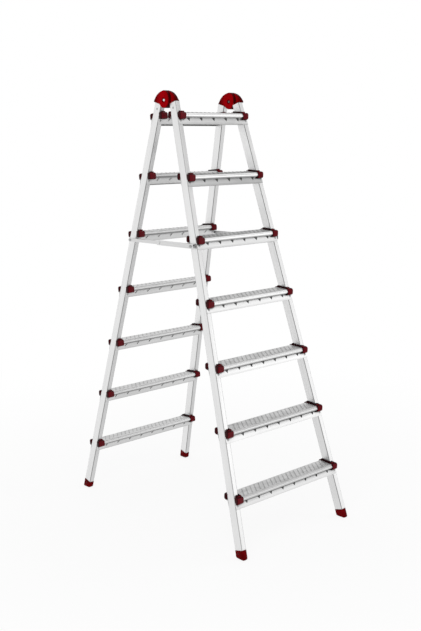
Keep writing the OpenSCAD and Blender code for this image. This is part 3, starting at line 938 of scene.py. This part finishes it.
for name in FRAMES:
    own_right, own_left = ("right", "left") if name == "front" else ("left", "right")
    for side_name, mirror in ((own_right, Matrix.Identity(4)), (own_left, MIRRORED)):
        place = frame_matrix(name) @ mirror @ frame_matrix(name).inverted() @ stile_matrix(name)
        piece = copy_to(foot, place, f"{name}_{side_name}_foot_moulding")
        stands_for(piece, f"{name}_{side_name}_foot", f"{name}_frame")
        lowest = min(corner.co.z for corner in piece.data.vertices)
        print(piece.name, "stands at", round(1000 * lowest, 2), "mm")
bpy.data.objects.remove(foot)

# %% [markdown]
# ## Tread ends
# Each end of a tread wears a moulding: a cap over either nose, and a strip between them that lies on the
# deck beside the stile. All 28 are alike, so one is modelled by hand and copied. A cap starts as a cube
# whose front edges are rounded into the nose, is opened and given a wall, and is mirrored to the other
# nose. The strip is added, and the stile and the outer skirt are cut out, so that the moulding fits against
# them. Rounding the cut edges leaves a few slivers, which are cleared at the end.

# %% A cap over one nose
CAP_LENGTH = 0.0295
CAP_ROUND = 0.0123
CAP_DROP = 0.003
CAP_CORNER = 0.0088
CAP_RIM = 0.0034
CAP_BACK = 0.02124
CAP_FRONT = NOSE_MIDDLE + CAP_ROUND
NEARLY = 0.00002


def is_at(value, target):
    """Says whether a coordinate lies on a plane."""
    return abs(value - target) < NEARLY


def along_front(edge):
    """Says whether an edge of a cap runs along its front."""
    first, second = [corner.co for corner in edge.verts]
    return is_at(first.y, -CAP_FRONT) and is_at(second.y, -CAP_FRONT) and is_at(first.z, second.z)


def on_rim(edge):
    """Says whether an edge of a cap goes round its outer end, and not along its back."""
    at_end = all(is_at(corner.co.x, 0) for corner in edge.verts)
    return at_end and not all(is_at(corner.co.y, -CAP_BACK) for corner in edge.verts)


cap_low = (-CAP_LENGTH, -CAP_FRONT, -CAP_ROUND - CAP_DROP)
tread_end = block("tread_end", cap_low, (0, -CAP_BACK, CAP_ROUND))
front_edges = pick_edges(tread_end, along_front)
bpy.ops.mesh.bevel(offset=CAP_CORNER, segments=8, affect="EDGES")
rim_edges = pick_edges(tread_end, on_rim)
bpy.ops.mesh.bevel(offset=CAP_RIM, segments=4, affect="EDGES")
print("rounded", front_edges, "front edges and", rim_edges, "edges of the rim")

# %% Open the cap and give it a wall
CAP_WALL = 0.0021

bpy.ops.mesh.select_mode(type="FACE")
bpy.ops.mesh.select_all(action="DESELECT")
shape = bmesh.from_edit_mesh(tread_end.data)
for face in shape.faces:
    middle = face.calc_center_median()
    face.select_set(is_at(middle.y, -CAP_BACK) or is_at(middle.x, -CAP_LENGTH))
bmesh.update_edit_mesh(tread_end.data)
bpy.ops.mesh.delete(type="FACE")
bpy.ops.object.mode_set(mode="OBJECT")
wall = tread_end.modifiers.new("wall", "SOLIDIFY")
wall.thickness = CAP_WALL
wall.offset = -1
wall.use_even_offset = True
bpy.ops.object.modifier_apply(modifier=wall.name)
other_nose = tread_end.modifiers.new("other nose", "MIRROR")
other_nose.use_axis = (False, True, False)
bpy.ops.object.modifier_apply(modifier=other_nose.name)
print("two caps:", len(tread_end.data.polygons), "faces")

# %% Make the strip
STILE_HALF = 0.011 / math.cos(FLARE)
STILE_HALF_DEPTH = 0.020
STRIP_REACH = 0.005
STRIP_INNER = -2 * STILE_HALF - STILE_HALF_DEPTH * math.tan(FLARE) - STRIP_REACH
STRIP_BOTTOM = DECK_TOP + 0.00005
STRIP_TOP = DECK_TOP + 0.0068
STRIP_UPPER = DECK_TOP + 0.003
STRIP_ROUND = 0.0016


def strip_edge(edge):
    """Says whether an edge of the strip is the upper one on its inner side."""
    return all(is_at(corner.co.x, STRIP_INNER) and corner.co.z > STRIP_UPPER for corner in edge.verts)


strip = block("strip", (STRIP_INNER, -NOSE_MIDDLE, STRIP_BOTTOM), (-STILE_HALF, NOSE_MIDDLE, STRIP_TOP))
pick_edges(strip, strip_edge)
bpy.ops.mesh.bevel(offset=STRIP_ROUND, segments=3, affect="EDGES")
bpy.ops.object.mode_set(mode="OBJECT")
print("strip:", rounded((1000 * v for v in strip.dimensions), 1), "mm")

# %% Join the strip, and cut out the stile and the skirt
STILE_REACH = 0.08
SKIRT_ROOM = ((-0.06, -0.0223, -0.06), (0.02, -0.0100, -0.01705))
SLIVER = 0.00004

in_frame = Matrix.Rotation(-TREAD_TURN, 4, "X")
beside_end = Matrix.Translation((-STILE_HALF, 0, 0)) @ in_frame
at_stile = stile_room(-STILE_REACH, STILE_REACH)
at_stile.matrix_world = beside_end @ Matrix.Rotation(-FLARE, 4, "Y")
at_skirt = block("skirt_room", *SKIRT_ROOM)
at_skirt.matrix_world = in_frame
carve(tread_end, strip, "UNION")
carve(tread_end, at_stile, "DIFFERENCE")
carve(tread_end, at_skirt, "DIFFERENCE")
bpy.ops.object.mode_set(mode="EDIT")
bpy.ops.mesh.select_all(action="SELECT")
bpy.ops.mesh.remove_doubles(threshold=WELD)
bpy.ops.mesh.normals_make_consistent(inside=False)
bpy.ops.object.mode_set(mode="OBJECT")
soften_sharp_edges(tread_end, width=0.0004, rounds=2, sharp=40)
bpy.ops.object.mode_set(mode="EDIT")
bpy.ops.mesh.select_all(action="SELECT")
bpy.ops.mesh.dissolve_degenerate(threshold=SLIVER)
bpy.ops.object.mode_set(mode="OBJECT")
print("finished tread end:", len(tread_end.data.polygons), "faces")

# %% Give the tread end its maroons
STRIP_HALF = CAP_BACK - 0.0005
FACING_FRONT = 0.6


def end_place(face):
    """Says whether a face is on the strip, or on a cap's front or side."""
    if face.center.z > DECK_TOP and abs(face.center.y) < STRIP_HALF:
        return "strip"
    return "cap front" if abs(face.normal.y) > FACING_FRONT else "cap side"


print("tread end faces:", material_by_face(tread_end, end_finishes, end_place))

# %% Copy it to every tread
def end_of_tread(k):
    """Distance from the ladder's middle to the outer end of tread k."""
    return STILE_TOP_X + tread_drop(k) * math.tan(FLARE) + STILE_HALF


for name in FRAMES:
    for k in TREADS:
        outwards = Matrix.Translation((end_of_tread(k), 0, 0))
        ends = copy_to(tread_end, tread_matrix(name, k) @ outwards, f"{name}_tread_ends_{k}")
        other_end = copy_to(tread_end, tread_matrix(name, k) @ MIRRORED @ outwards, "other_end")
        select_only(ends, other_end)
        bpy.ops.object.join()
        stands_for(ends, f"{name}_step_ends_{k}", f"{name}_frame")
bpy.data.objects.remove(tread_end)
print("tread ends:", 2 * len(FRAMES) * len(TREADS), "the last pair has", len(ends.data.polygons), "faces")

# %% [markdown]
# ## Pressed notches
# Under each nose the press has pushed a row of small triangular pockets into the skirt. Those on the outer
# side look dark, because little light comes back out of them, and their near-black colour is painted
# shade; those on the inner side are about as pale as the skirt. A patch of tone would do from afar, but not
# from close by, so one pocket is folded from a plane, given a wall, repeated along the skirt with an array,
# and set behind the openings.

# %% One pocket
NOTCH_WIDTH = 0.0176
NOTCH_HEIGHT = 0.0136
NOTCH_LEAN = 0.0034
POCKET_TOP = 0.0003
POCKET_DEPTH = 0.006
POCKET_FLOOR = 0.4
POCKET_WALL = 0.0006

bpy.ops.object.select_all(action="DESELECT")
bpy.ops.mesh.primitive_plane_add(size=NOTCH_WIDTH, rotation=(math.pi / 2, 0, 0))
pocket = bpy.context.active_object
pocket.name = "pocket"
bpy.ops.object.transform_apply(location=True, rotation=True, scale=True)
bpy.ops.object.mode_set(mode="EDIT")
bpy.ops.transform.resize(value=(1, 1, NOTCH_HEIGHT / NOTCH_WIDTH), center_override=(0, 0, 0))
bpy.ops.transform.translate(value=(0, 0, POCKET_TOP - NOTCH_HEIGHT / 2))
bpy.ops.mesh.select_mode(type="VERT")
bpy.ops.mesh.select_all(action="DESELECT")
shape = bmesh.from_edit_mesh(pocket.data)
for corner in shape.verts:
    corner.select_set(corner.co.z < -NOTCH_HEIGHT / 2)
bmesh.update_edit_mesh(pocket.data)
bpy.ops.mesh.merge(type="CENTER")
bpy.ops.transform.translate(value=(NOTCH_LEAN, 0, 0))
bpy.ops.mesh.select_all(action="SELECT")
bpy.ops.mesh.extrude_region_move(TRANSFORM_OT_translate={"value": (0, POCKET_DEPTH, 0)})
floor_middle = (NOTCH_LEAN / 3, POCKET_DEPTH, -NOTCH_HEIGHT / 3)
bpy.ops.transform.resize(value=(POCKET_FLOOR, 1, POCKET_FLOOR), center_override=floor_middle)
bpy.ops.mesh.select_all(action="SELECT")
bpy.ops.mesh.normals_make_consistent(inside=False)
bpy.ops.object.mode_set(mode="OBJECT")
wall = pocket.modifiers.new("wall", "SOLIDIFY")
wall.thickness = POCKET_WALL
wall.offset = 0
bpy.ops.object.modifier_apply(modifier=wall.name)
pocket_size = rounded((1000 * v for v in pocket.dimensions), 1)
print("pocket:", len(pocket.data.polygons), "faces, box", pocket_size, "mm")

# %% Rows of pockets behind the skirts
NOTCH_PITCH = 0.065
NOTCH_START = 0.024
NOTCH_CLEAR = 0.0145
SHEET = 0.001
POCKET_Y = SKIRT_INSIDE - 0.0004
POCKET_BELOW = 0.002
# The side of the tread, its name, and the finish of its pockets
POCKET_SIDES = (
    # The outer pockets' near-black is painted shade
    (-1, "outer", pressed_sheet("outer_pocket", 0.10, 0.16, BLUNT)),
    (1, "inner", pressed_sheet("inner_pocket", 0.66, 0.76, BLUNT)),
)


def skirt_top(way):
    """Height along the frame, from a tread's own level, of the top of its outer (-1) or inner (1) skirt."""
    outside = way * (SKIRT_INSIDE + SHEET)
    return (outside * math.sin(TREAD_TURN) - DECK_TOP + SHEET) / math.cos(TREAD_TURN)


def repeat_along_skirt(row, count):
    """Repeats a row's first pocket towards the other end of the tread."""
    again = row.modifiers.new("row", "ARRAY")
    again.count = count
    again.use_relative_offset = False
    again.use_constant_offset = True
    again.constant_offset_displace = (-NOTCH_PITCH, 0, 0)
    bpy.ops.object.modifier_apply(modifier=again.name)


rows = 0
for name in FRAMES:
    for k in TREADS:
        cap_x = end_of_tread(k) - CAP_LENGTH
        first_x = cap_x - NOTCH_START
        count = math.floor((first_x + cap_x - NOTCH_CLEAR) / NOTCH_PITCH) + 1
        tread_level = frame_matrix(name) @ Matrix.Translation((0, -STILE_OFFSET, -tread_drop(k)))
        for way, way_name, finish in POCKET_SIDES:
            opening = Matrix.Translation((first_x, way * POCKET_Y, skirt_top(way) - POCKET_BELOW))
            facing = Matrix.Scale(-way, 4, (0, 1, 0))
            row = copy_to(pocket, opening @ facing, f"{name}_{way_name}_pockets_{k}")
            repeat_along_skirt(row, count)
            row.matrix_world = tread_level
            bpy.ops.object.transform_apply(location=True, rotation=True, scale=True)
            finish_all_over(row, finish)
            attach(row, f"{name}_frame")
            rows += 1
bpy.data.objects.remove(pocket)
print("rows of pockets:", rows, "the last has", count)

# %% [markdown]
# ## Measure and finish
# The dressed ladder has to keep the size of the solids, so its box is measured again and compared
# with the box as built.

# %% Compare the boxes
box_as_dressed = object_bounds()
growth = [max(abs(a - b) for a, b in zip(box_as_built[i], box_as_dressed[i])) for i in (0, 1)]
print("largest change of the box:", rounded((1000 * g for g in growth), 2), "mm")
